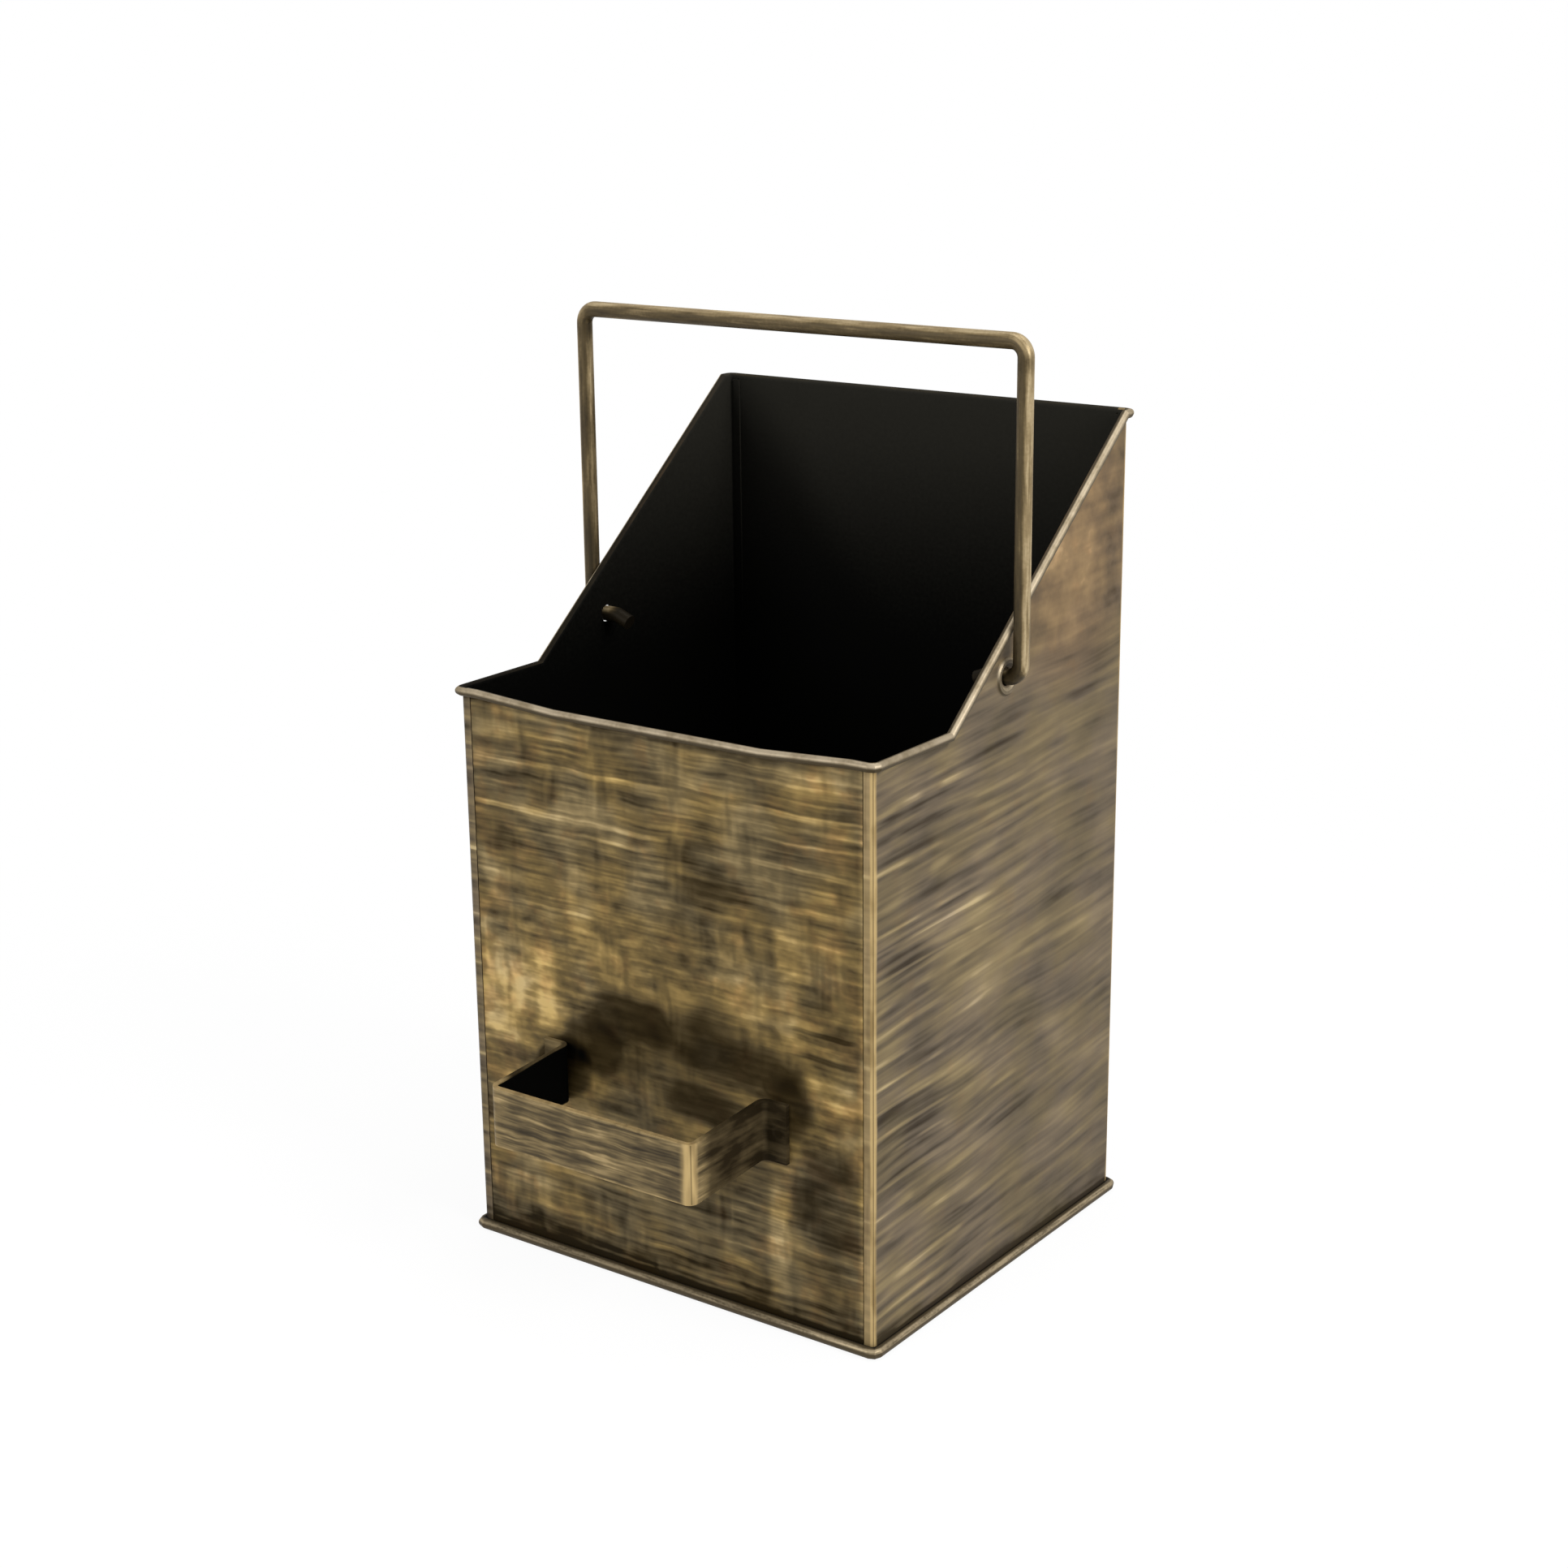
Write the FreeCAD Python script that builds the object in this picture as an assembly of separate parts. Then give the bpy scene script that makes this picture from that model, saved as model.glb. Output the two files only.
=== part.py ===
import FreeCAD
import Part
import math
import os

# Open hod for hearth ash: four sheet panels with lapped corners and a wired rim, seamed into a
# rolled base pan, with a swinging wire bail and a fixed strap for tipping it.
# Millimetres, +Z up, front towards -Y, origin at the centre of the underside.

# Body
body_width = 200.5         # outside of the side panels
body_depth = 184.0         # outside of the front and back panels
front_height = 239.5       # floor to the top of the low rim
back_height = 344.0        # floor to the top of the high rim
level_run = 49.5           # front face to where the side rim starts to climb
sheet = 0.8                # sheet thickness of every panel
corner_radius = 1.6        # outside of the upright corner bends
corner_steps = 2           # small folds that make up each upright corner
lap_flange = 4.5           # side panel's fold round each corner, from the corner
seam_gap = 0.4             # open line between the fold and the front or back panel

# Wired rim
rim_wire_diameter = 2.0
wire_clearance = 0.05      # radial, between the rim wire and the curl
curl_gap = 0.3             # between the free edge of the curl and the panel
landing_spare = 2.0        # level rim left between its high bend and the corner's fold
front_dip = 2.4            # how much lower the front rim is in its middle
dip_margin = 10.0          # outside of the side panel to where the front rim starts to dip
dip_slope = 40.0           # length across the front of each slope of the dip

# Rolled edge of the base pan
bead_bore = 3.0            # hollow inside the rolled edge
bead_reach = 3.4           # how far the rolled edge stands out from the panels
lip_gap = 0.3              # between the free edge of the roll and the panels
foot_clearance = 0.1       # between the panels' turned-out feet and the roll's bend

# Bail
bail_wire_diameter = 6.5
bail_bend = 6.0            # centreline radius of the bail's bends
bail_reach = 129.0         # hinge axis to the centreline of the grip bar
bail_side_gap = 0.3        # between the rim and the bail's legs
pivot_drop = 21.8          # sloped rim straight down to the hinge axis
pivot_play = 0.3           # bail wire to the top of its hole
bail_hole_diameter = 7.2
boss_diameter = 16.0       # raised ring round each hole, where it meets the panel
boss_height = 1.0
boss_mouth = 11.0          # hollow of the ring at its top, narrowing to the hole
boss_slant = 1.2           # how far the ring's outside leans in
stub_length = 6.0          # inside face of the panel to the turn of the bail's tip
tip_length = 7.0
tip_droop = 22.0           # degrees that each tip turns down

# Tipping handle
strap_width = 25.0
strap_thickness = 2.0
strap_bend = 3.0           # centreline radius of its bends
handle_span = 101.0        # outside of the two arms
handle_reach = 48.0        # front panel to the outside of the grip
handle_height = 84.0       # underside to the middle of the strap, at the front panel
handle_drop = 2.5          # how much lower the grip is than the feet
foot_tab = 10.5            # length of each foot beyond its arm
weld_diameter = 5.0        # dent of the spot weld in each foot
weld_floor_diameter = 3.0
weld_depth = 0.4

# Worked out from the sizes above
half_width = body_width / 2
half_depth = body_depth / 2
run_x = half_width - corner_radius
run_y = half_depth - corner_radius
rim_bore = rim_wire_diameter / 2 + wire_clearance
rim_radius = rim_bore + sheet
rim_overhang = rim_bore + rim_radius
climb_angle = math.atan2(back_height - front_height, half_depth + run_y - level_run)
rim_landing = 2 * rim_radius * math.tan(climb_angle / 2) + landing_spare
curl_end = -math.acos((curl_gap - rim_bore) / rim_radius)
bead_radius = bead_bore / 2 + sheet
bead_offset = bead_reach - bead_radius
lip_end = math.acos((lip_gap - bead_offset) / bead_radius)
foot_reach = bead_offset - foot_clearance
panel_half = half_width - lap_flange - seam_gap
bail_wire_radius = bail_wire_diameter / 2
bail_hole_radius = bail_hole_diameter / 2
leg_x = half_width + rim_overhang + bail_side_gap + bail_wire_radius
beyond = 2 * (body_width + body_depth + back_height)


def vec(x, y, z):
    return FreeCAD.Vector(x, y, z)


UP = vec(0, 0, 1)
RIGHT = vec(1, 0, 0)
BACK = vec(0, 1, 0)

# Bends of the rim's top line on its right half, and the bail's hinge axis, half-way along the side
front_rim_dip = [
    vec(half_width - dip_margin - dip_slope, -half_depth, front_height - front_dip),
    vec(half_width - dip_margin, -half_depth, front_height),
]
rim_bend_low = vec(half_width, level_run - half_depth, front_height)
rim_bend_high = vec(half_width, run_y - rim_landing, back_height)
climb = (rim_bend_high - rim_bend_low).normalize()
pivot_z = rim_bend_low.z - rim_bend_low.y * climb.z / climb.y - pivot_drop
hole_z = pivot_z - (bail_hole_radius - bail_wire_radius - pivot_play)


def block(low, high):
    return Part.makeBox(high.x - low.x, high.y - low.y, high.z - low.z, low)


def line(a, b):
    return Part.LineSegment(a, b).toShape()


def face_of(edges):
    return Part.Face(Part.Wire(Part.__sortEdges__(edges)))


def polygon(points):
    return Part.Face(Part.makePolygon(points + points[:1]))


def joined(solids):
    return solids[0].multiFuse(solids[1:]).removeSplitter()


def mirrored(shape, normal):
    return shape.mirror(vec(0, 0, 0), normal)


def mirrored_points(points):
    """The same points on the left side, in the order that carries on from the right side."""
    return [vec(-p.x, p.y, p.z) for p in reversed(points)]


def keep_behind(shape, point, normal):
    """Cuts away what lies past the plane through the point."""
    past = Part.makeBox(beyond, beyond, beyond, vec(-beyond / 2, -beyond / 2, 0))
    past.Placement = FreeCAD.Placement(point, FreeCAD.Rotation(UP, normal))
    return shape.cut(past)


def directions(points):
    return [(b - a).normalize() for a, b in zip(points, points[1:])]


def outward_of(way):
    """Level direction out of the body, for a run that goes round it front, right, back, left."""
    return way.cross(UP).normalize()


def upward_of(way):
    """Direction up and square to a run of the rim."""
    return outward_of(way).cross(way)


def shifted(points, shift, normal_of=outward_of):
    """A line moved sideways, outwards unless told otherwise, with mitred bends."""
    normals = [normal_of(way) for way in directions(points)]
    moved = [points[0] + normals[0] * shift]
    for point, a, b in zip(points[1:], normals, normals[1:]):
        moved.append(point + (a + b) * (shift / (1 + a.dot(b))))
    moved.append(points[-1] + normals[-1] * shift)
    return moved


def rounded_path(points, radii):
    """Straight runs through the points, with a tangent arc at each inner one."""
    edges = []
    start = points[0]
    for before, corner, after, radius in zip(points, points[1:], points[2:], radii):
        back = (before - corner).normalize()
        ahead = (after - corner).normalize()
        half_turn = (math.pi - back.getAngle(ahead)) / 2
        inward = (back + ahead).normalize()
        first = corner + back * (radius * math.tan(half_turn))
        last = corner + ahead * (radius * math.tan(half_turn))
        middle = corner + inward * (radius / math.cos(half_turn) - radius)
        edges.append(line(start, first))
        edges.append(Part.Arc(first, middle, last).toShape())
        start = last
    edges.append(line(start, points[-1]))
    return edges


def strip_face(points, thickness, bend):
    """Plan of a flat strip, standing on edge and bent along its centreline points."""
    ways = directions(points)
    turns = [math.copysign(1, b.cross(a).z) for a, b in zip(ways, ways[1:])]
    edges = []
    for shift in (thickness / 2, -thickness / 2):
        edges += rounded_path(shifted(points, shift), [bend - turn * shift for turn in turns])
    for end, way in ((points[0], ways[0]), (points[-1], ways[-1])):
        across = outward_of(way) * (thickness / 2)
        edges.append(line(end + across, end - across))
    return face_of(edges)


def mitred_run(section, points, spare, closed=False):
    """A section, drawn at a point and facing a way, carried along straight runs with mitred bends."""
    ways = directions(points)
    solids = []
    for index, (start, end, way) in enumerate(zip(points, points[1:], ways)):
        first = index == 0 and not closed
        last = index == len(ways) - 1 and not closed
        begin = start if first else start - way * spare
        finish = end if last else end + way * spare
        run = section(begin, way).extrude(finish - begin)
        if not last:
            run = keep_behind(run, end, way + ways[(index + 1) % len(ways)])
        if not first:
            run = keep_behind(run, start, (way + ways[index - 1]) * -1)
        solids.append(run)
    return solids


def roll_section(centre, outward, up, radius, start, end):
    """Section of a rolled sheet edge: part of a ring, from one angle to the other."""
    def at(r, angle):
        return centre + outward * (r * math.cos(angle)) + up * (r * math.sin(angle))

    middle = (start + end) / 2
    inner = radius - sheet
    return face_of([
        Part.Arc(at(radius, start), at(radius, middle), at(radius, end)).toShape(),
        Part.Arc(at(inner, start), at(inner, middle), at(inner, end)).toShape(),
        line(at(radius, start), at(inner, start)),
        line(at(radius, end), at(inner, end)),
    ])


def rim_centre(top, way):
    """Middle of the curl whose panel has its outer face below the top line's point."""
    return top + outward_of(way) * rim_bore - upward_of(way) * rim_radius


def rim_section(top, way):
    centre = rim_centre(top, way)
    return roll_section(centre, outward_of(way), upward_of(way), rim_radius, math.pi, curl_end)


def rim_wire_section(top, way):
    return Part.Face(Part.Wire(Part.makeCircle(rim_wire_diameter / 2, rim_centre(top, way), way)))


def bead_section(foot, way):
    outward = outward_of(way)
    centre = foot + outward * bead_offset + UP * bead_radius
    return roll_section(centre, outward, UP, bead_radius, -math.pi / 2, lip_end)


def corner_points(start_angle, z):
    """Upright corner of the body's outside, from its front or right face round to the next."""
    centre_y = -run_y if start_angle < 0 else run_y
    points = []
    for step in range(corner_steps + 1):
        angle = math.radians(start_angle + 90 * step / corner_steps)
        out = vec(math.cos(angle), math.sin(angle), 0) * corner_radius
        points.append(vec(run_x, centre_y, z) + out)
    return points


def side_line(front_z, back_z, bends):
    """Right side of the body seen from above, with its two corners and any bends of its rim between."""
    return corner_points(-90, front_z) + bends + corner_points(0, back_z)


def with_folds(points):
    """The same line with the side panel's fold added at each end."""
    front = vec(half_width - lap_flange, points[0].y, points[0].z)
    back = vec(half_width - lap_flange, points[-1].y, points[-1].z)
    return [front] + points + [back]


def side_band(inner, outer):
    """Plan of a band that follows the right side panel between two offsets."""
    plan = with_folds(side_line(sheet, sheet, []))
    return polygon(shifted(plan, outer) + shifted(plan, inner)[::-1])


def right_rim_line():
    return side_line(front_height, back_height, [rim_bend_low, rim_bend_high])


def loop(right_line):
    """Closed line round the body from its right side."""
    points = right_line + mirrored_points(right_line)
    return points + points[:1]


def side_profile():
    """Side view of the wall under the curl, drawn past the front and the back."""
    front = vec(half_width, -body_depth, 0)
    back = vec(half_width, body_depth, 0)
    rim = [front + UP * front_height, rim_bend_low, rim_bend_high, back + UP * back_height]
    return polygon([front + UP * sheet] + shifted(rim, -rim_radius, upward_of) + [back + UP * sheet])


def right_side_panel():
    curl = mitred_run(rim_section, with_folds(right_rim_line()), spare=2 * rim_overhang)
    wall = side_band(-sheet, 0).extrude(UP * back_height)
    wall = wall.common(side_profile().extrude(RIGHT * -body_width))
    foot = side_band(-sheet, foot_reach).extrude(UP * sheet)
    middle = vec(half_width, 0, hole_z)
    boss = Part.makeCone(boss_diameter / 2, boss_diameter / 2 - boss_slant, boss_height, middle, RIGHT)
    hollow = Part.makeCone(bail_hole_radius, boss_mouth / 2, boss_height, middle, RIGHT)
    hole = Part.makeCylinder(bail_hole_radius, sheet, middle - RIGHT * sheet, RIGHT)
    return joined([wall, foot, boss] + curl).cut(hollow).cut(hole)


def end_rim_line(height, bends):
    """Top line of an end panel's curl, from fold to fold, with any bends of its right half."""
    right = bends + [vec(half_width - lap_flange, -half_depth, height)]
    return mirrored_points(right) + right


def end_panel(rim):
    """Front or back panel, facing the front: cranked edges pass behind the side panels' folds."""
    outer = -half_depth
    edge = shifted(rim, -rim_radius, upward_of)
    feet = [vec(end.x, outer, sheet) for end in (edge[-1], edge[0])]
    between = block(vec(-panel_half, outer, sheet), vec(panel_half, outer + sheet, back_height))
    plate = polygon(edge + feet).extrude(BACK * sheet).common(between)
    lap_end = vec(run_x - sheet, outer + 2 * sheet, edge[0].z - sheet)
    lap = block(vec(panel_half - sheet, outer + sheet, sheet), lap_end)
    foot = block(vec(-panel_half, outer - foot_reach, sheet), vec(panel_half, outer, 2 * sheet))
    curl = mitred_run(rim_section, rim, spare=2 * rim_overhang)
    return joined([plate, lap, mirrored(lap, RIGHT), foot] + curl)


def base_pan():
    """Floor whose edge rolls up and over the panels' feet."""
    edge = loop(side_line(0, 0, []))
    rolls = mitred_run(bead_section, edge, spare=2 * bead_reach, closed=True)
    floor_edge = shifted(edge + edge[1:2], bead_offset)[1:-1]
    floor = polygon(floor_edge).extrude(UP * sheet)
    return joined([floor] + rolls)


def rim_wire():
    """Closed loop of wire inside the curls of all four panels."""
    line_round = loop(front_rim_dip + right_rim_line())
    return joined(mitred_run(rim_wire_section, line_round, spare=2 * rim_overhang, closed=True))


def bail_handle():
    """Wire bail: tips turned down inside the body, legs outside it, grip bar across the top."""
    droop = math.radians(tip_droop)
    turn_x = half_width - sheet - stub_length
    tip = vec(turn_x - tip_length * math.cos(droop), 0, pivot_z - tip_length * math.sin(droop))
    right = [tip, vec(turn_x, 0, pivot_z), vec(leg_x, 0, pivot_z), vec(leg_x, 0, pivot_z + bail_reach)]
    points = right + mirrored_points(right)
    path = Part.Wire(rounded_path(points, [bail_bend] * (len(points) - 2)))
    section = Part.Wire(Part.makeCircle(bail_wire_radius, tip, points[1] - tip))
    return path.makePipeShell([section], True, True)


def tipping_handle():
    """Strap bent to a U, with feet turned out flat against the front panel."""
    arm = handle_span / 2 - strap_thickness / 2
    foot_y = -half_depth - strap_thickness / 2
    grip_y = -half_depth - handle_reach + strap_thickness / 2
    right = [vec(arm, grip_y, 0), vec(arm, foot_y, 0), vec(handle_span / 2 + foot_tab, foot_y, 0)]
    plan = strip_face(mirrored_points(right) + right, strap_thickness, strap_bend)
    strap = plan.extrude(UP * (handle_height + strap_width))

    top = handle_height + strap_width / 2
    bend_y = -half_depth - strap_thickness - strap_bend
    grip = -half_depth - handle_reach
    upper = [vec(-body_width, -half_depth, top), vec(-body_width, bend_y, top),
             vec(-body_width, grip, top - handle_drop)]
    lower = [p - UP * strap_width for p in reversed(upper)]
    side_view = polygon(upper + lower).extrude(RIGHT * (2 * body_width))
    strap = strap.common(side_view)

    weld_x = handle_span / 2 + (foot_tab + strap_bend - strap_thickness / 2) / 2
    for side in (-1, 1):
        face = vec(side * weld_x, -half_depth - strap_thickness, handle_height)
        strap = strap.cut(Part.makeCone(weld_diameter / 2, weld_floor_diameter / 2, weld_depth, face, BACK))
    return strap


right_panel = right_side_panel()
nodes = {
    "front_panel": end_panel(end_rim_line(front_height, front_rim_dip)),
    "back_panel": mirrored(end_panel(end_rim_line(back_height, [])), BACK),
    "right_side_panel": right_panel,
    "left_side_panel": mirrored(right_panel, RIGHT),
    "base_pan": base_pan(),
    "rim_wire": rim_wire(),
    "bail_handle": bail_handle(),
    "tipping_handle": tipping_handle(),
}
os.makedirs("parts", exist_ok=True)
for name, shape in nodes.items():
    solid = shape.Solids[0] if len(shape.Solids) == 1 else shape
    solid.exportStep(f"parts/{name}.step")
    print(name, len(shape.Solids), "solid", shape.isValid(), round(shape.Volume, 1), "mm3")
print("hinge axis at height", round(pivot_z, 3), "legs at", round(leg_x, 3))
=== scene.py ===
import bpy
import math
from collections import namedtuple
from mathutils import Matrix, Vector


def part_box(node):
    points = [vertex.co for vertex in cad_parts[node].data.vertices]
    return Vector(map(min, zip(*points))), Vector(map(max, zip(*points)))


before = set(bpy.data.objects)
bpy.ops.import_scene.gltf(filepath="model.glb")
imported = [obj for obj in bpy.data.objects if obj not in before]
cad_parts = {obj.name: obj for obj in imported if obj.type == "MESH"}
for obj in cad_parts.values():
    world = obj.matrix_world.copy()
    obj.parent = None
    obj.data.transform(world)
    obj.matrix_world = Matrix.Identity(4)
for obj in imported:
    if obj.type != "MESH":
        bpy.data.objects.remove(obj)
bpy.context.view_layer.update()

MM_PER_M = 1000.0


def corners_of(node):
    """Lowest and highest corners of a piece, in millimetres."""
    return [corner * MM_PER_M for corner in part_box(node)]


# Sizes that the finishes follow, in millimetres
SHEET = 0.8
RIM_OVERHANG = 2.9
RIM_ROLL = 3.7
FRONT_DIP = 2.4
DIP_MARGIN = 10.0
DIP_SLOPE = 40.0
SLOPE_START = -42.5
SLOPE_END = 87.1
STRAP_ARM = 49.5
STRAP_HALF_SHEET = 1.0
STRAP_HALF_WIDTH = 12.5
STRAP_DROP = 2.5

front_high = corners_of("front_panel")[1]
side_high = corners_of("right_side_panel")[1]
strap_low, strap_high = corners_of("tipping_handle")
bail_high = corners_of("bail_handle")[1]
HALF_WIDTH = side_high.x - RIM_OVERHANG
HALF_DEPTH = side_high.y - RIM_OVERHANG
FRONT_HEIGHT = front_high.z
BACK_HEIGHT = side_high.z
FOLD_EDGE = front_high.x
STRAP_GRIP = strap_low.y + STRAP_HALF_SHEET
STRAP_MIDDLE = strap_high.z - STRAP_HALF_WIDTH
BAIL_RADIUS = bail_high.y
BAIL_GRIP = bail_high.z - BAIL_RADIUS

# Colours of the coat, of the brass over it and of the plain wire
COAT_BLACK = (0.0010, 0.0010, 0.0008, 1)
# COAT_LIT is the inside's black coat with painted light on it
COAT_LIT = (0.0172, 0.0162, 0.0128, 1)
PAN_BLACK = (0.0090, 0.0085, 0.0070, 1)
BRONZE_DARK = (0.040, 0.029, 0.0145, 1)
BRASS_WORN = (0.44, 0.315, 0.140, 1)
BRASS_RUBBED = (0.25, 0.170, 0.068, 1)
BRASS_PALE = (0.31, 0.256, 0.178, 1)
BRASS_GREY = (0.175, 0.138, 0.086, 1)
BEAD_PALE = (0.30, 0.240, 0.150, 1)
STRAP_RUBBED = (0.27, 0.190, 0.083, 1)
STEEL_DARK = (0.36, 0.35, 0.33, 1)
STEEL_PALE = (0.55, 0.54, 0.52, 1)
WARM_SHINE = (1.0, 0.84, 0.60, 1)
FLOOR_GREY = (0.92, 0.92, 0.92, 1)
WHITE = (1, 1, 1, 1)

# How the painted metal takes the light, with depths of grain in millimetres
PAINT_SHINE = 0.28
GRAIN_STRENGTH = 0.35
FLAT_ROUGHNESS = 0.6
FLAT_SHINE = 0.016
COAT_ROUGHNESS = 0.54
BRASS_SMOOTHER = 0.13
BRASS_METAL = 0.5
PAINT_DEPTH = 0.16
GRIT_HEIGHT = 0.25

# Middle of what a noise gives
HALF = 0.5
# Rays by which something is looked at
EYE_RAYS = ("Is Camera Ray", "Is Glossy Ray", "Is Transmission Ray")

# Brush marks: how wide and how high in millimetres, their own draw of the noise, how fine
Marks = namedtuple("Marks", "wide high draw detail")


class Value:
    """A number that a node gives, so that sums on it add Math nodes."""

    def __init__(self, nodes, socket):
        self.nodes = nodes
        self.socket = socket

    def __add__(self, other):
        return self.nodes.math("ADD", self, other)

    def __radd__(self, other):
        return self.nodes.math("ADD", other, self)

    def __sub__(self, other):
        return self.nodes.math("SUBTRACT", self, other)

    def __rsub__(self, other):
        return self.nodes.math("SUBTRACT", other, self)

    def __mul__(self, other):
        return self.nodes.math("MULTIPLY", self, other)

    def __rmul__(self, other):
        return self.nodes.math("MULTIPLY", other, self)

    def __truediv__(self, other):
        return self.nodes.math("DIVIDE", self, other)

    def __rtruediv__(self, other):
        return self.nodes.math("DIVIDE", other, self)

    def __abs__(self):
        return self.nodes.math("ABSOLUTE", self)


class Nodes:
    """A node tree, emptied, and the ways of adding to it."""

    def __init__(self, tree):
        self.tree = tree
        tree.nodes.clear()

    def node(self, kind, settings=None, sockets=None):
        """Adds a node: its settings first, then the values or links of its sockets."""
        made = self.tree.nodes.new(kind)
        for name, value in (settings or {}).items():
            if name == "stops":
                self.set_stops(made.color_ramp, value)
            else:
                setattr(made, name, value)
        for name, value in (sockets or {}).items():
            if isinstance(value, Value):
                value = value.socket
            if isinstance(value, bpy.types.NodeSocket):
                self.tree.links.new(value, made.inputs[name])
            else:
                made.inputs[name].default_value = value
        return made

    def set_stops(self, ramp, stops):
        """Gives a ramp its stops, each a position and a colour."""
        while len(ramp.elements) < len(stops):
            ramp.elements.new(HALF)
        for element, (position, colour) in zip(ramp.elements, stops):
            element.position = position
            element.color = colour

    def math(self, operation, *terms):
        made = self.node("ShaderNodeMath", {"operation": operation}, dict(enumerate(terms)))
        return Value(self, made.outputs[0])

    def parts_of(self, vector):
        made = self.node("ShaderNodeSeparateXYZ", None, {0: vector})
        return [Value(self, out) for out in made.outputs]

    def fade(self, value, start, end):
        """Goes smoothly from 0 at the start to 1 at the end."""
        made = self.node("ShaderNodeMapRange", {"interpolation_type": "SMOOTHSTEP"},
                         {"Value": value, "From Min": start, "From Max": end})
        return Value(self, made.outputs[0])

    def larger(self, a, b):
        return self.math("MAXIMUM", a, b)

    def smaller(self, a, b):
        return self.math("MINIMUM", a, b)

    def limited(self, value):
        """The value, held between 0 and 1."""
        return self.smaller(self.larger(value, 0.0), 1.0)

    def noise(self, u, v, w, detail=2.0):
        """Soft noise from 0 to 1."""
        spot = self.node("ShaderNodeCombineXYZ", None, {0: u, 1: v, 2: w})
        made = self.node("ShaderNodeTexNoise", None,
                         {"Vector": spot.outputs[0], "Scale": 1.0, "Detail": detail})
        return Value(self, made.outputs["Fac"])

    def marks(self, across, up, kind, seed=0.0):
        """Brush marks of one kind over a face, which has a seed of its own."""
        return self.noise(across / kind.wide, up / kind.high, seed + kind.draw, kind.detail)

    def patch(self, u, v, middle, reach):
        """Soft oval that is 1 at its middle and 0 at its reach."""
        across = (u - middle[0]) / reach[0]
        along = (v - middle[1]) / reach[1]
        return self.fade(across * across + along * along, 1.0, 0.0)

    def ramp(self, value, stops):
        return self.node("ShaderNodeValToRGB", {"stops": stops}, {"Fac": value}).outputs["Color"]

    def blend(self, share, a, b):
        made = self.node("ShaderNodeMix", {"data_type": "RGBA"}, {0: share, 6: a, 7: b})
        return made.outputs[2]

    def white_for_eye(self):
        """1 for what the camera, a reflection or a clear piece looks at."""
        rays = self.node("ShaderNodeLightPath").outputs
        camera, glossy, clear = [Value(self, rays[name]) for name in EYE_RAYS]
        return self.larger(self.larger(camera, glossy), clear)


class Finish(Nodes):
    """One material, with the places and directions on the piece that its nodes start from."""

    def __init__(self, name):
        self.material = bpy.data.materials.new(name)
        self.material.use_nodes = True
        super().__init__(self.material.node_tree)
        given = self.node("ShaderNodeTexCoord").outputs
        place = self.node("ShaderNodeVectorMath", {"operation": "SCALE"},
                          {0: given["Object"], "Scale": MM_PER_M})
        self.x, self.y, self.z = self.parts_of(place.outputs[0])
        self.nx, self.ny, self.nz = self.parts_of(given["Normal"])

    def speckle(self, size, detail=2.0):
        """Noise of the same size every way, in millimetres."""
        return self.noise(self.x / size, self.y / size, self.z / size, detail)

    def surface(self, colour, roughness, metallic, height, depth, dull=None, flat=COAT_BLACK):
        """Painted metal with a grain so many millimetres deep, and a flat coat where it is dull."""
        bump = self.node("ShaderNodeBump", None,
                         {"Height": height, "Distance": depth / MM_PER_M,
                          "Strength": GRAIN_STRENGTH})
        shader = self.node("ShaderNodeBsdfPrincipled", None,
                           {"Base Color": colour, "Roughness": roughness, "Metallic": metallic,
                            "Normal": bump.outputs[0], "Specular IOR Level": PAINT_SHINE,
                            "Specular Tint": WARM_SHINE})
        if dull is not None:
            coat = self.node("ShaderNodeBsdfPrincipled", None,
                             {"Base Color": flat, "Roughness": FLAT_ROUGHNESS,
                              "Specular IOR Level": FLAT_SHINE})
            shader = self.node("ShaderNodeMixShader", None,
                               {0: dull, 1: shader.outputs[0], 2: coat.outputs[0]})
        self.node("ShaderNodeOutputMaterial", None, {"Surface": shader.outputs[0]})
        return self.material


def either_way(noise, amount):
    """The noise, swung by up to half the amount to either side of nothing."""
    return (noise - HALF) * amount


def tinted(steps, tint):
    """The same steps from dark to bright, in another tint."""
    return [(at, tuple(part * share for part, share in zip(colour, tint)) + (1,))
            for at, colour in steps]


def patches(f, u, v, places):
    """Where the brush left more or less: each place has a middle, a reach and an amount."""
    total = 0.0
    for middle, reach, amount in places:
        total = total + f.patch(u, v, middle, reach) * amount
    return total


# Share of a stroke's half width that is at its fullest, and the taper of its ends in millimetres
STROKE_CORE = 0.3
STROKE_TAPER = 6.0


def strokes(f, across, along, places):
    """Straight strokes: where across, half as wide, from and to how far along, and an amount."""
    total = 0.0
    for middle, half, start, end, amount in places:
        width = f.fade(abs(across - middle), half, half * STROKE_CORE)
        begun = f.fade(along, start - STROKE_TAPER, start + STROKE_TAPER)
        not_ended = f.fade(along, end + STROKE_TAPER, end - STROKE_TAPER)
        total = total + width * (begun * not_ended) * amount
    return total


# Where one face of the panels gives way to the next, in millimetres
INSIDE_ACROSS = (HALF_WIDTH - SHEET * 0.4, HALF_WIDTH - SHEET * 0.6)
INSIDE_ALONG = (HALF_DEPTH - SHEET * 0.4, HALF_DEPTH - SHEET * 0.6)
END_FACES = (HALF_DEPTH - 4.0, HALF_DEPTH - 2.0)
RIM_PROUD = (0.15, 0.6)
ABOVE_BEAD = (8.0, 12.0)


def inside_of_body(f):
    """1 on the faces that look into the hod."""
    return f.fade(abs(f.x), *INSIDE_ACROSS) * f.fade(abs(f.y), *INSIDE_ALONG)


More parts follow.
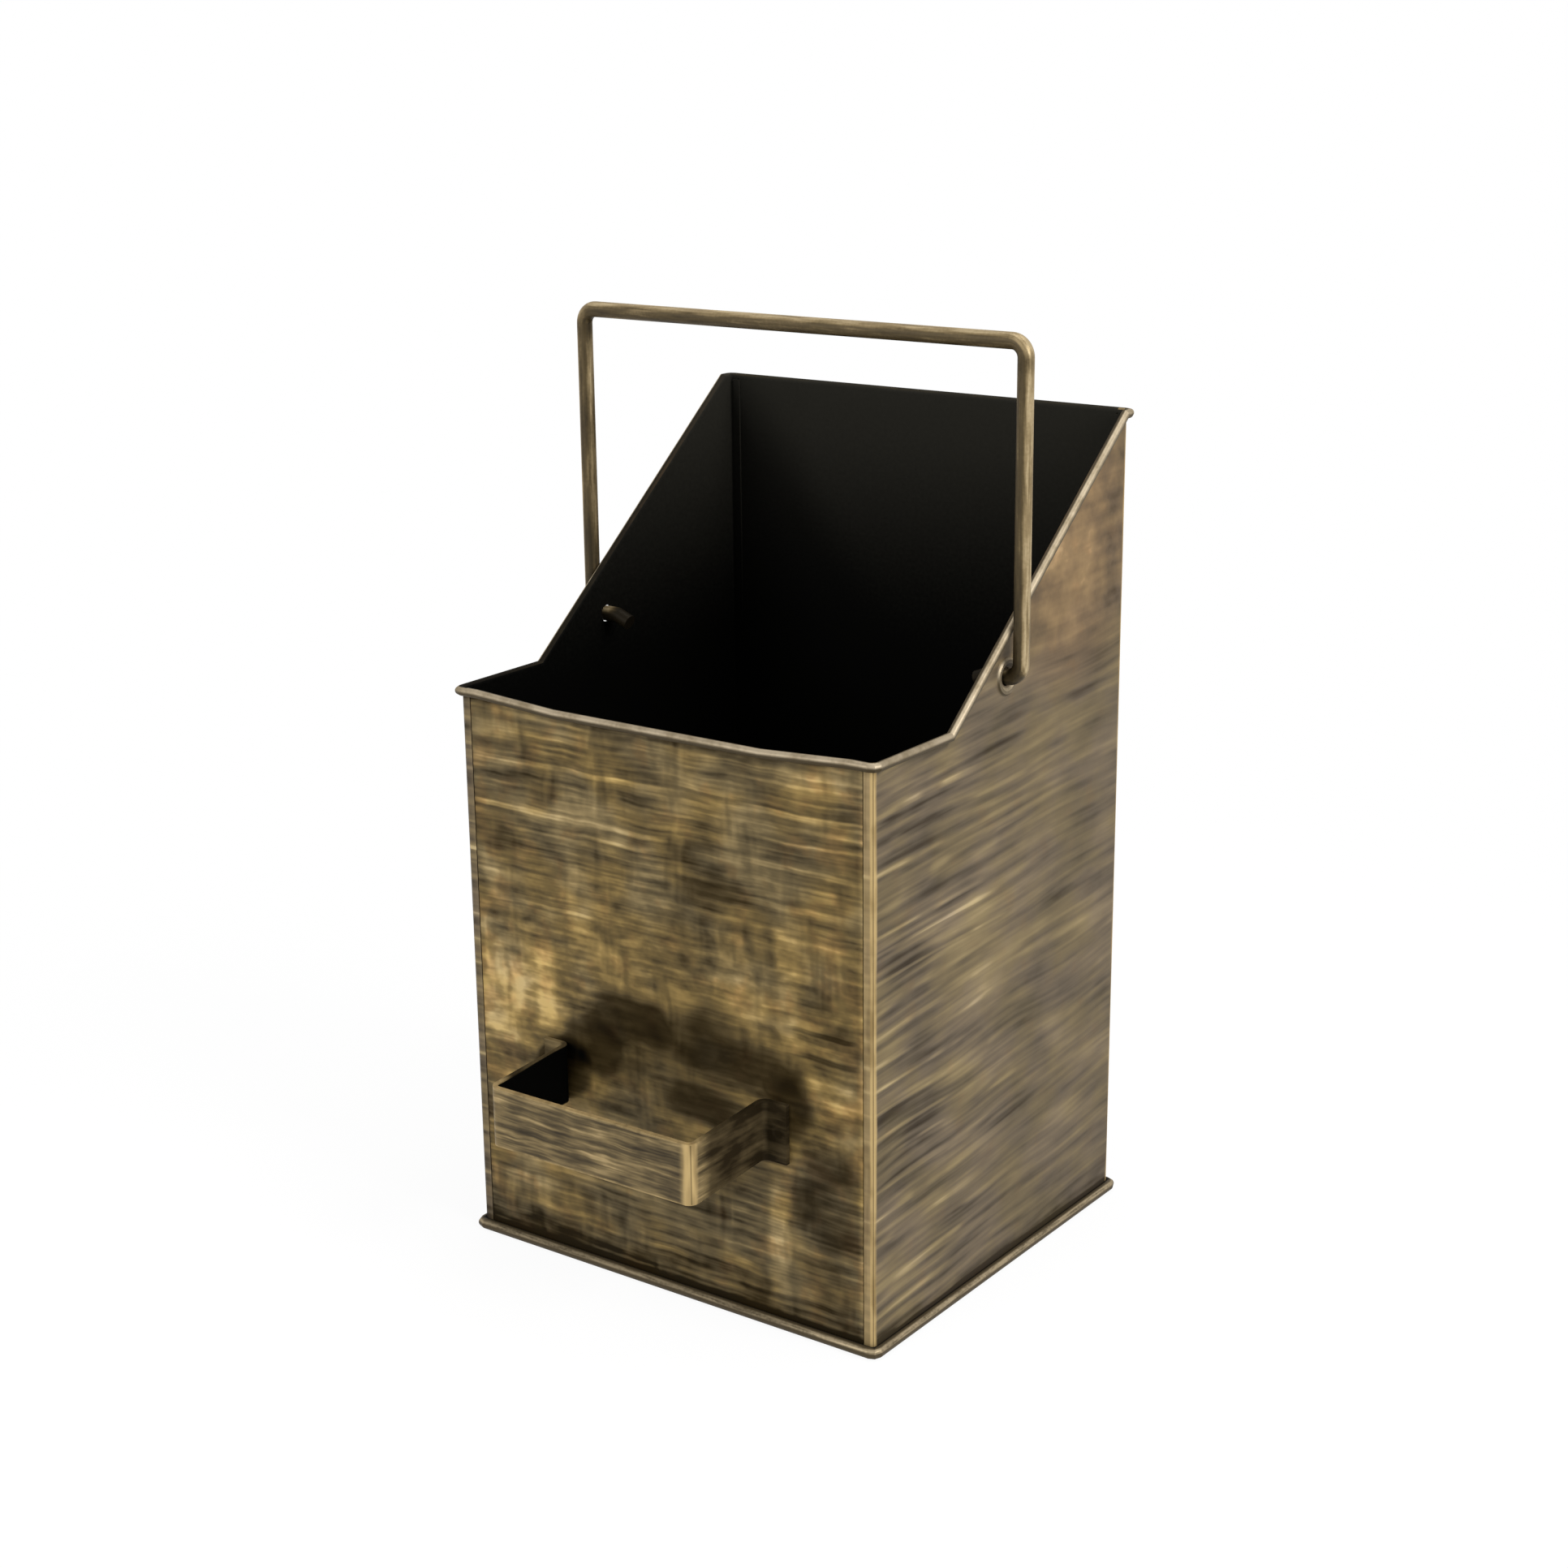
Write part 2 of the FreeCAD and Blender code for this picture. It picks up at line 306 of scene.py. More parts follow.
def out_of_body(f):
    """How far a face looks out of the body: 1 straight out, -1 straight in."""
    sideways = f.nx * f.math("SIGN", f.x)
    endways = f.ny * f.math("SIGN", f.y)
    return f.larger(sideways, endways * f.fade(abs(f.y), *END_FACES))


def proud_of_body(f):
    """How far a place stands out from the panels, in millimetres."""
    return f.larger(abs(f.x) - HALF_WIDTH, abs(f.y) - HALF_DEPTH)


def rim_roll(f):
    """1 on the rolled rim, which stands out from the panels."""
    return f.fade(proud_of_body(f), *RIM_PROUD) * f.fade(f.z, *ABOVE_BEAD)


def front_rim(f):
    """Height of the front rim, which dips in its middle."""
    into_dip = (HALF_WIDTH - DIP_MARGIN - abs(f.x)) / DIP_SLOPE
    return FRONT_HEIGHT - f.limited(into_dip) * FRONT_DIP


def side_rim(f):
    """Height of the side rim, which climbs to the back."""
    climbed = (f.y - SLOPE_START) / (SLOPE_END - SLOPE_START)
    return f.limited(climbed) * (BACK_HEIGHT - FRONT_HEIGHT) + FRONT_HEIGHT


# Grain of the panels, in millimetres
PANEL_GRIT = 1.6
PANEL_CLOUD = 14.0
CLOUD_DETAIL = 3.0
RUB_WIDE = 2.4
RUB_LONG = 34.0
RUB_DETAIL = 1.0
# Shade on the panels: under the rim, down towards the base and in the groove along its bead
UNDER_RIM = (RIM_ROLL + 3.2, RIM_ROLL + 0.4)
UNDER_RIM_SHADE = 0.22
DARK_FOOT_END = 4.0
DARK_FOOT_STRAY = 8.0
DARK_FOOT_SHADE = 0.30
GROOVE = (7.4, 5.2)
GROOVE_SHADE = 0.45
# How little brass leaves the coat black with soot and painted shadow, or bare of brass, and how
# dull it is then
SOOTY_AND_SHADED = (0.04, -0.24)
SOOTY_AND_SHADED_DULL = 0.1
BARE = (0.36, 0.04)
BARE_DULL = 0.9
# Rubbed folds and the rolled rim: where their brass is full, and which way the rim faces where it
# has a painted highlight, with painted shade below
RUBBED = (0.34, 0.56)
RIM_PALE = (0.34, 0.60)
RIM_CLOUD_SHARE = 0.8
RIM_GRIT_SHARE = 0.2
RIM_OUTWARD = (-0.06, 0.34)
RIM_UPWARD = (-0.25, 0.40)
RIM_TURN = 0.26
TURNED_IN_DULL = 0.94
# How far out a rim's face has to look before the inside's black gives way to brass
RIM_BRASS_TOP = 0.10
RIM_DARK_TOP = 0.42
# Black inside, with painted light towards the top and a painted shadow across the back's left
# corner
LIT_HEIGHTS = (222.0, 368.0)
LIT_STRAY = 40.0
CORNER_SLANT = 0.75
CORNER_REACH = (24.0, -14.0)
CORNER_SHADE = 0.65
PANEL_SMOOTHER = 0.14
GRIT_ROUGHER = 0.05
RUST_TINT = (1.12, 0.89, 0.76)


def rubbed_fold(f, cloud):
    """Bare brass with upright streaks."""
    streak = f.noise(f.x / RUB_WIDE, f.y / RUB_WIDE, f.z / RUB_LONG, RUB_DETAIL)
    return f.blend(f.fade(streak * HALF + cloud * HALF, *RUBBED), BRASS_RUBBED, BRASS_WORN)


def inside_coat(f, grit):
    """The black coat inside the hod, with painted light towards the top and a painted shadow
    slanting across the back's left corner.
    """
    # Painted shadow slanting across the back's left corner, and painted light towards the top
    from_corner = f.x + HALF_WIDTH - (BACK_HEIGHT - f.z) * CORNER_SLANT
    corner = abs(f.ny) * f.fade(from_corner, *CORNER_REACH) * CORNER_SHADE
    painted_light = f.fade(f.z + either_way(grit, LIT_STRAY), *LIT_HEIGHTS) * (1 - corner)
    return f.blend(painted_light, COAT_BLACK, COAT_LIT)


def panel_finish(f, gold, warmth, rust, steps, tints, below_rim, dark_foot, dark_rim, worn=0.0):
    """Black coat inside with painted light, brass brushed over it outside with painted shade under
    the rim and towards the base, a rolled rim with a painted highlight over painted shade, and bare
    brass where it is rubbed.
    """
    rim = rim_roll(f)
    facing = out_of_body(f)
    grit = f.speckle(PANEL_GRIT)
    cloud = f.speckle(PANEL_CLOUD, CLOUD_DETAIL)
    # Painted shade under the rim, towards the base and in the groove along the bead
    shadow = f.fade(below_rim, *UNDER_RIM) * UNDER_RIM_SHADE
    foot = f.fade(f.z + either_way(cloud, DARK_FOOT_STRAY), dark_foot, DARK_FOOT_END)
    groove = foot * DARK_FOOT_SHADE + f.fade(f.z, *GROOVE) * GROOVE_SHADE
    # Where hardly any brass lies the coat goes black: soot and painted shadow
    sooty_and_shaded = f.fade(gold, *SOOTY_AND_SHADED)
    gold = f.limited(gold - shadow - groove)
    cool, warm, rusty = [f.ramp(gold, tinted(steps, tint)) for tint in (*tints, RUST_TINT)]
    brushed = f.blend(rust, f.blend(warmth, cool, warm), rusty)
    # Painted highlight on the rim where it faces out and up; below it, painted shade in dark bronze
    painted_rim_highlight = f.fade(facing, *RIM_OUTWARD) * f.fade(f.nz, *RIM_UPWARD)
    pale_places = f.fade(cloud * RIM_CLOUD_SHARE + grit * RIM_GRIT_SHARE, *RIM_PALE)
    rolled = f.blend(painted_rim_highlight, BRONZE_DARK, f.blend(pale_places, BRASS_GREY, BRASS_PALE))
    colour = f.blend(rim, f.blend(worn, brushed, rubbed_fold(f, cloud)), rolled)
    bright = f.larger(f.larger(gold, worn), rim * painted_rim_highlight)
    roughness = COAT_ROUGHNESS - bright * PANEL_SMOOTHER + grit * GRIT_ROUGHER
    inside = inside_of_body(f)
    bare = (f.fade(gold + worn, *BARE) * BARE_DULL + sooty_and_shaded * SOOTY_AND_SHADED_DULL) * (1 - rim)
    turned_in = f.fade(facing, dark_rim, dark_rim - RIM_TURN) * TURNED_IN_DULL
    dull = f.larger(f.larger(inside, bare), turned_in)
    outer_coat = f.blend(sooty_and_shaded, colour, COAT_BLACK)
    flat = f.blend(f.larger(inside, turned_in), outer_coat, inside_coat(f, grit))
    return f.surface(colour, roughness, bright * BRASS_METAL, gold + grit * GRIT_HEIGHT,
                     PAINT_DEPTH, dull, flat)


# Brass over black on the front and the back, from thin to thick: how thick, and the colour there
END_STEPS = [(0.0, (0.0115, 0.0076, 0.0026)), (0.28, (0.046, 0.0325, 0.0125)),
             (0.50, (0.112, 0.080, 0.031)), (0.74, (0.235, 0.168, 0.066)),
             (1.0, (0.50, 0.370, 0.160))]
END_TINTS = [(0.97, 1.0, 1.16), (1.04, 0.98, 0.83)]
# Places on the front, across and up from its foot, where the brass lies thicker or thinner
FRONT_PLACES = [
    ((-80.0, 114.0), (36.0, 32.0), 0.29), ((-84.0, 112.0), (28.0, 8.0), 0.17),
    ((-88.0, 97.0), (20.0, 8.0), 0.22), ((-26.0, 140.0), (26.0, 14.0), 0.20),
    ((40.0, 140.0), (24.0, 14.0), 0.14), ((80.0, 104.0), (18.0, 9.0), 0.30),
    ((-90.0, 170.0), (8.0, 16.0), 0.16), ((80.0, 229.0), (24.0, 7.0), 0.16),
    ((-42.0, 78.0), (16.0, 12.0), 0.10), ((-72.0, 28.0), (16.0, 16.0), 0.14),
    ((18.0, 178.0), (22.0, 24.0), -0.18), ((-68.0, 204.0), (26.0, 8.0), -0.16),
    ((-88.0, 182.0), (14.0, 10.0), -0.12), ((26.0, 220.0), (12.0, 7.0), -0.12),
    ((84.0, 216.0), (12.0, 8.0), -0.12), ((80.0, 56.0), (22.0, 34.0), -0.28),
    ((-10.0, 30.0), (64.0, 18.0), -0.08), ((36.0, 46.0), (26.0, 26.0), -0.12),
]
# Places round the strap on the front where hardly any brass lies: smoke, and painted shadow of the
# strap, darkest beside its left arm
FRONT_SMOKE_AND_SHADOW = [
    ((-36.0, 98.0), (22.0, 17.0), 1.0), ((-18.0, 113.0), (27.0, 16.0), 0.9),
    ((6.0, 112.0), (26.0, 20.0), 0.55), ((25.0, 122.0), (20.0, 13.0), 0.5),
    ((38.0, 107.0), (38.0, 14.0), 0.8), ((22.0, 86.0), (32.0, 14.0), 0.85),
    ((62.0, 95.0), (16.0, 20.0), 0.9), ((-52.0, 86.0), (18.0, 16.0), 1.6),
]
# Upright strokes on the front: across, half as wide, from and to this height, amount
FRONT_UPRIGHTS = [
    (-61.0, 7.0, 100.0, 138.0, 0.18), (-45.0, 4.0, 150.0, 184.0, 0.10),
    (61.0, 7.0, 120.0, 172.0, 0.18), (56.0, 7.5, 10.0, 66.0, 0.26),
]
# Long level strokes on the front: up, half as high, from and to this far across, amount
FRONT_LEVELS = [
    (212.5, 1.8, -96.0, 4.0, 0.26), (213.5, 1.5, 42.0, 90.0, 0.22),
    (192.5, 1.8, -94.0, 2.0, 0.26), (192.0, 1.5, 44.0, 88.0, 0.18),
    (186.5, 1.4, -36.0, -8.0, 0.16), (229.0, 1.4, 8.0, 92.0, 0.14),
    (128.0, 1.6, 62.0, 92.0, -0.32), (123.0, 1.4, 66.0, 92.0, 0.22),
    (118.0, 1.8, 66.0, 92.0, -0.36), (153.0, 1.4, -92.0, -32.0, 0.16),
    (38.0, 1.6, -60.0, 44.0, 0.12),
]
# Places on the back, across and up from its foot, where the brass lies thicker or thinner
BACK_PLACES = [
    ((-40.0, 250.0), (46.0, 34.0), 0.12), ((52.0, 130.0), (34.0, 40.0), 0.14),
    ((-60.0, 70.0), (26.0, 24.0), 0.12), ((10.0, 180.0), (40.0, 30.0), -0.14),
    ((60.0, 290.0), (30.0, 26.0), -0.12), ((-10.0, 40.0), (44.0, 18.0), -0.08),
]
FRONT_SEED = 2.0
BACK_SEED = 140.0

# Brush marks on the front and the back
END_SWAY = Marks(26.0, 26.0, 0.0, 2.0)
END_STRAY = Marks(26.0, 26.0, 31.0, 2.0)
END_LINES = Marks(52.0, 2.4, 0.0, 1.0)
END_BRISTLES = Marks(20.0, 1.1, 7.0, 1.0)
END_UPRIGHTS = Marks(5.0, 34.0, 50.0, 1.0)
END_CROSSINGS = Marks(18.0, 36.0, 5.0, 2.0)
END_MOTTLE = Marks(9.0, 5.5, 17.0, 2.0)
END_LOAD = Marks(30.0, 17.0, 9.0, 2.0)
END_WARMTH = Marks(34.0, 26.0, 71.0, 2.0)
END_SPOTS = Marks(11.0, 13.0, 83.0, 3.0)
# How far places, level lines and upright lines stray, in millimetres
END_PLACE_STRAY = 18.0
END_LINE_STRAY = 3.0
END_UPRIGHT_STRAY = 6.0
# Heights between which the brass was dabbed on, and where upright lines cross the level ones
DABBED_TOP = (178.0, 140.0)
DABBED_FOOT = (55.0, 85.0)
CROSSED = (0.48, 0.64)
# How thick the brass lies, and how much the brush's load changes that
END_BRASS = 0.47
END_LOAD_SWING = 0.9
# Painted shade towards the foot of the front and back, above the base bead
END_FOOT = (22.0, 8.0)
END_FOOT_STRAY = 16.0
END_FOOT_SHADE = 0.10
# Smoke, soot and painted shadow over the brass
SMOKE_AND_SHADOW_MOTTLE_SWING = 0.7
SMOKE_AND_SHADOW_LOAD_SWING = 0.9
SMOKE_AND_SHADOW = (0.10, 1.10)
SMOKE_AND_SHADOW_THINNER = 0.46
SOOT_AND_SHADOW = (0.9, 2.3)
SOOT_AND_SHADOW_THINNER = 0.3
# How strongly the marks show, fainter where they are crossed, dabbed or thin
END_LINE_SWING = 0.94
END_BRISTLE_SWING = 0.22
END_UPRIGHT_SWING = 0.7
CROSSED_CALMER = 0.45
DABBED_CALMER = 0.35
END_MOTTLE_SWING = 0.5
DABBED_MOTTLE_SWING = 0.3
THIN_BRASS = (0.05, 0.42)
THIN_MARKS = 0.35
FULL_MARKS = 0.65
# Least brass that the marks leave outside the soot and painted shadow
LEAST_MOTTLE = 0.30
LEAST_LINES = 0.14
LEAST_LESS = 0.13
# Warm and rusty places
END_WARM = (0.40, 0.64)
DABBED_WARMER = 0.12
END_RUST = (0.54, 0.70)
END_RUST_SHARE = 0.42
RUSTY_EDGE = (45.0, 95.0)
RUSTY_EDGE_MORE = 0.10
# Seams beside the folds of the sides: shaded, more so on the left, and gilded on the right
SEAM = (FOLD_EDGE - 1.3, FOLD_EDGE - 0.4)
SEAM_SHADE = 0.30
SEAM_STRAY = 3.0
LEFT_SEAM = (4.0 - FOLD_EDGE, 0.4 - FOLD_EDGE)
LEFT_SEAM_SHADE = 0.16
RIGHT_SEAM = (FOLD_EDGE - 5.0, FOLD_EDGE - 2.5)
RIGHT_SEAM_GOLD = 0.20
# How high the painted shade above the base bead reaches on the front and back
END_DARK_FOOT = 24.0


def end_finish(name, seed, below_rim, dark_rim, places, smoke_and_shadow_places=(), uprights=(), levels=()):
    """Front or back panel: level brush lines, crossed by upright ones here and there."""
    f = Finish(name)
    sway = f.marks(f.x, f.z, END_SWAY, seed)
    stray = f.marks(f.x, f.z, END_STRAY, seed)
    u = f.x + either_way(stray, END_PLACE_STRAY)
    v = f.z + either_way(sway, END_PLACE_STRAY)
    straight = f.z + either_way(sway, END_LINE_STRAY)
    leaning = f.x + either_way(stray, END_UPRIGHT_STRAY)
    lines = f.marks(f.x, straight, END_LINES, seed)
    bristles = f.marks(f.x, straight, END_BRISTLES, seed)
    upright_lines = f.marks(leaning, f.z, END_UPRIGHTS, seed)
    mottle = f.marks(f.x, f.z, END_MOTTLE, seed)
    load = f.marks(f.x, f.z, END_LOAD, seed)
    crossed = f.fade(f.marks(f.x, f.z, END_CROSSINGS, seed), *CROSSED)
    dabbed = f.fade(v, *DABBED_TOP) * f.fade(v, *DABBED_FOOT)

    coat = patches(f, u, v, places) + either_way(load, END_LOAD_SWING) + END_BRASS
    coat = coat + strokes(f, leaning, f.z, uprights) + strokes(f, straight, f.x, levels)
    # Painted shade towards the foot
    coat = coat - f.fade(f.z + either_way(sway, END_FOOT_STRAY), *END_FOOT) * END_FOOT_SHADE
    # Smoke and painted shadow round the strap, darkest beside its left arm
    smoke_and_shadow = patches(f, u, v, smoke_and_shadow_places) + either_way(mottle, SMOKE_AND_SHADOW_MOTTLE_SWING)
    smoke_and_shadow = smoke_and_shadow + either_way(load, SMOKE_AND_SHADOW_LOAD_SWING)
    soot_and_shadow = f.fade(smoke_and_shadow, *SOOT_AND_SHADOW)
    coat = coat - f.fade(smoke_and_shadow, *SMOKE_AND_SHADOW) * SMOKE_AND_SHADOW_THINNER - soot_and_shadow * SOOT_AND_SHADOW_THINNER

    level = either_way(lines, END_LINE_SWING) + either_way(bristles, END_BRISTLE_SWING)
    marks = level * (1 - crossed * CROSSED_CALMER - dabbed * DABBED_CALMER)
    marks = marks + either_way(upright_lines, crossed) * END_UPRIGHT_SWING
    marks = marks + either_way(mottle, END_MOTTLE_SWING + dabbed * DABBED_MOTTLE_SWING)
    gold = coat + marks * (THIN_MARKS + f.fade(coat, *THIN_BRASS) * FULL_MARKS)
    least = mottle * LEAST_MOTTLE + lines * LEAST_LINES - LEAST_LESS
    gold = f.larger(gold, least * (1 - soot_and_shadow) - soot_and_shadow * SOOT_AND_SHADOW_THINNER)

    seam_place = f.x + either_way(stray, SEAM_STRAY)
    shade = f.fade(abs(f.x), *SEAM) * SEAM_SHADE + f.fade(seam_place, *LEFT_SEAM) * LEFT_SEAM_SHADE
    gold = gold + f.fade(seam_place, *RIGHT_SEAM) * RIGHT_SEAM_GOLD - shade
    warmth = f.fade(f.marks(f.x, f.z, END_WARMTH, seed) + dabbed * DABBED_WARMER, *END_WARM)
    spots = f.marks(f.x, f.z, END_SPOTS, seed) + f.fade(abs(f.x), *RUSTY_EDGE) * RUSTY_EDGE_MORE
    rust = f.fade(spots, *END_RUST) * END_RUST_SHARE
    return panel_finish(f, gold, warmth, rust, END_STEPS, END_TINTS, below_rim(f),
                        END_DARK_FOOT, dark_rim)


def front_finish():
    return end_finish("front_panel_paint", FRONT_SEED, lambda f: front_rim(f) - f.z, RIM_BRASS_TOP,
                      FRONT_PLACES, FRONT_SMOKE_AND_SHADOW, FRONT_UPRIGHTS, FRONT_LEVELS)


def back_finish():
    return end_finish("back_panel_paint", BACK_SEED, lambda f: BACK_HEIGHT - f.z, RIM_DARK_TOP,
                      BACK_PLACES)


# Brass over black on the sides, from thin to thick: how thick, and the colour there
SIDE_STEPS = [(0.0, (0.029, 0.0225, 0.0138)), (0.28, (0.062, 0.0485, 0.0290)),
              (0.50, (0.116, 0.089, 0.050)), (0.74, (0.195, 0.152, 0.083)),
              (1.0, (0.42, 0.338, 0.200))]
SIDE_TINTS = [(0.995, 0.976, 1.10), (1.012, 0.984, 0.89)]
# Places on a side, back from its middle and up from its foot, with more or less brass
SIDE_PLACES = [
    ((-8.0, 150.0), (58.0, 34.0), 0.17), ((50.0, 300.0), (44.0, 42.0), 0.22),
    ((57.0, 220.0), (26.0, 14.0), 0.10), ((48.0, 92.0), (22.0, 14.0), 0.12),
    ((-66.0, 48.0), (30.0, 14.0), 0.08), ((-64.0, 202.0), (32.0, 22.0), -0.10),
    ((-66.0, 153.0), (30.0, 11.0), -0.16), ((-70.0, 126.0), (26.0, 9.0), -0.12),
    ((-70.0, 86.0), (28.0, 24.0), -0.13), ((20.0, 82.0), (28.0, 18.0), -0.12),
    ((-10.0, 238.0), (40.0, 14.0), -0.08), ((78.0, 300.0), (16.0, 24.0), -0.16),
]
RIGHT_SEED = 220.0
LEFT_SEED = 330.0

# Brush marks on the sides
SIDE_SWAY = Marks(60.0, 46.0, 0.0, 0.0)
SIDE_STRAY = Marks(36.0, 36.0, 31.0, 2.0)
SIDE_LINES = Marks(64.0, 4.0, 0.0, 1.0)
SIDE_BRISTLES = Marks(30.0, 1.4, 7.0, 1.0)
SIDE_LOAD = Marks(44.0, 20.0, 9.0, 3.0)
SIDE_DABS = Marks(11.0, 11.0, 13.0, 3.0)
SIDE_WARMTH = Marks(34.0, 26.0, 71.0, 2.0)
SIDE_SPOTS = Marks(12.0, 12.0, 83.0, 3.0)
# How far places and lines stray, in millimetres, and how the lines sweep down from the front
SIDE_PLACE_STRAY = 34.0
SIDE_LINE_STRAY = 5.0
SWEEP_START = 90.0
SWEEP_SLOPE = 0.05
# Rows of pale streaks: how high a row is, how it strays, and where in it pale and dark lie
ROW_HEIGHT = 10.5
ROW_STRAY_HEIGHT = 14.0
ROW_STRAY_DRAW = 2.0
ROW_STRAY = 2.0
ROW_STEP = 3.7
STREAK_LENGTH = 46.0
STREAK_DRAW = 21.0
STREAK_PLACES = (0.42, 0.56)
PALE_MIDDLE = 0.54
PALE_REACH = (0.17, 0.03)
DARK_MIDDLE = 0.28
DARK_REACH = (0.20, 0.04)
DARK_SHARE = 0.4
STREAK_GOLD = 0.28
# Where the lines are stronger towards the front, and where dabs take their place at the top
TOWARDS_FRONT = (40.0, -50.0)
TOWARDS_FRONT_STRAY = 60.0
DABBED_HEIGHTS = (238.0, 276.0)
DABBED_STRAY = 30.0
SIDE_LINE_SWING = 1.05
SIDE_BRISTLE_SWING = 0.25
BACK_LINES = 0.66
FRONT_LINES_MORE = 0.34
DABBED_LINES_LESS = 0.40
DAB_SWING = 0.8
# How thick the brass lies, and how much the brush's load changes that
SIDE_BRASS = 0.43
SIDE_LOAD_SWING = 0.8
# Painted shade towards the foot of the sides, above the base bead
SIDE_FOOT = (50.0, 10.0)
SIDE_FOOT_SHADE = 0.05
# Warm and rusty places
SIDE_WARM = (0.36, 0.64)
WARM_BRASS = 0.45
WARM_BRASS_SHARE = 0.3
RUSTY_TOP = ((52.0, 300.0), (76.0, 76.0))
RUSTY_TOP_SHARE = 0.75
SIDE_RUST = (0.56, 0.72)
SIDE_RUST_SHARE = 0.25
# Folds rubbed to brass, most of all beside the seams and least on the left
WORN_FOLD = (HALF_DEPTH - 2.6, HALF_DEPTH - 1.0)
WORN_FOLD_STRAY = 2.0
WORN_SEAM = (FOLD_EDGE + 0.3, FOLD_EDGE + 1.2)
FOLD_WEAR = 0.40
SEAM_WEAR = 0.5
LEFT_UNWORN = (-99.0, -90.0)
# How high the painted shade above the base bead reaches on the sides
SIDE_DARK_FOOT = 14.0


def pale_streaks(f, swept, seed):
    """Pale streaks in rows, each over a darker one, here and there along the row."""
    row_stray = either_way(f.noise(f.z / ROW_STRAY_HEIGHT, seed, ROW_STRAY_DRAW), ROW_STRAY)
    rows = swept / ROW_HEIGHT + row_stray
    row = f.math("FLOOR", rows)
    within = rows - row
    along = f.noise(f.y / STREAK_LENGTH, row * ROW_STEP, seed + STREAK_DRAW)
    pale = f.fade(abs(within - PALE_MIDDLE), *PALE_REACH)
    dark = f.fade(abs(within - DARK_MIDDLE), *DARK_REACH)
    return f.fade(along, *STREAK_PLACES) * (pale - dark * DARK_SHARE)


def side_finish(name, seed, dark_rim):
    """Side panel: long level brush lines, with pale streaks towards the front."""
    f = Finish(name)
    sway = f.marks(f.y, f.z, SIDE_SWAY, seed)
    stray = f.marks(f.y, f.z, SIDE_STRAY, seed)
    u = f.y + either_way(stray, SIDE_PLACE_STRAY)
    v = f.z + either_way(sway, SIDE_PLACE_STRAY)
    swept = f.z - (f.y + SWEEP_START) * SWEEP_SLOPE + either_way(sway, SIDE_LINE_STRAY)
    lines = f.marks(f.y, swept, SIDE_LINES, seed)
    bristles = f.marks(f.y, swept, SIDE_BRISTLES, seed)
    load = f.marks(f.y, f.z, SIDE_LOAD, seed)
    dabs = f.marks(f.y, f.z, SIDE_DABS, seed)
    to_front = f.fade(f.y + either_way(stray, TOWARDS_FRONT_STRAY), *TOWARDS_FRONT)
    dabbed = f.fade(f.z + either_way(stray, DABBED_STRAY), *DABBED_HEIGHTS)

    level = either_way(lines, SIDE_LINE_SWING) + either_way(bristles, SIDE_BRISTLE_SWING)
    gold = level * (BACK_LINES + to_front * FRONT_LINES_MORE - dabbed * DABBED_LINES_LESS)
    gold = gold + either_way(dabs, dabbed) * DAB_SWING + either_way(load, SIDE_LOAD_SWING)
    gold = gold + pale_streaks(f, swept, seed) * to_front * STREAK_GOLD + SIDE_BRASS
    # Painted shade towards the foot, then more or less brass in places
    gold = gold - f.fade(f.z, *SIDE_FOOT) * SIDE_FOOT_SHADE + patches(f, u, v, SIDE_PLACES)

    warm_brass = (gold - WARM_BRASS) * WARM_BRASS_SHARE
    warmth = f.fade(f.marks(f.y, f.z, SIDE_WARMTH, seed) + warm_brass, *SIDE_WARM)
    spots = f.fade(f.marks(f.y, f.z, SIDE_SPOTS, seed), *SIDE_RUST)
    rust = f.patch(u, v, *RUSTY_TOP) * RUSTY_TOP_SHARE + spots * SIDE_RUST_SHARE
    fold = f.fade(abs(f.y) + either_way(stray, WORN_FOLD_STRAY), *WORN_FOLD)
    seam = f.fade(abs(f.x), *WORN_SEAM)
    worn = fold * (FOLD_WEAR + seam * SEAM_WEAR) * f.fade(f.x, *LEFT_UNWORN)
    return panel_finish(f, gold, warmth, f.limited(rust), SIDE_STEPS, SIDE_TINTS,
                        side_rim(f) - f.z, SIDE_DARK_FOOT, dark_rim, worn)


# Base bead: grain in millimetres, and where its pale line runs along its upper face: rubbed brass
# with a painted highlight
BEAD_GRIT = 1.4
BEAD_STREAK_LONG = 16.0
BEAD_STREAK_HIGH = 0.8
BEAD_STREAK_TURN = 40.0
BEAD_STREAK_SHARE = 0.7
BEAD_GRIT_SHARE = 0.3
BEAD_RUBBED = (0.30, 0.62)
BEAD_LINE_FOOT = (0.10, 0.50)
BEAD_LINE_TOP = (0.97, 0.80)
BEAD_BRASS = 0.52
BEAD_BRASS_MORE = 0.40
BEAD_CORNER = ((HALF_WIDTH, -HALF_DEPTH), (44.0, 44.0))
BEAD_SIDES = (HALF_WIDTH - 2.0, HALF_WIDTH)
UNDER_PANELS = (1.4, 0.4)
BEAD_DEPTH = 0.2


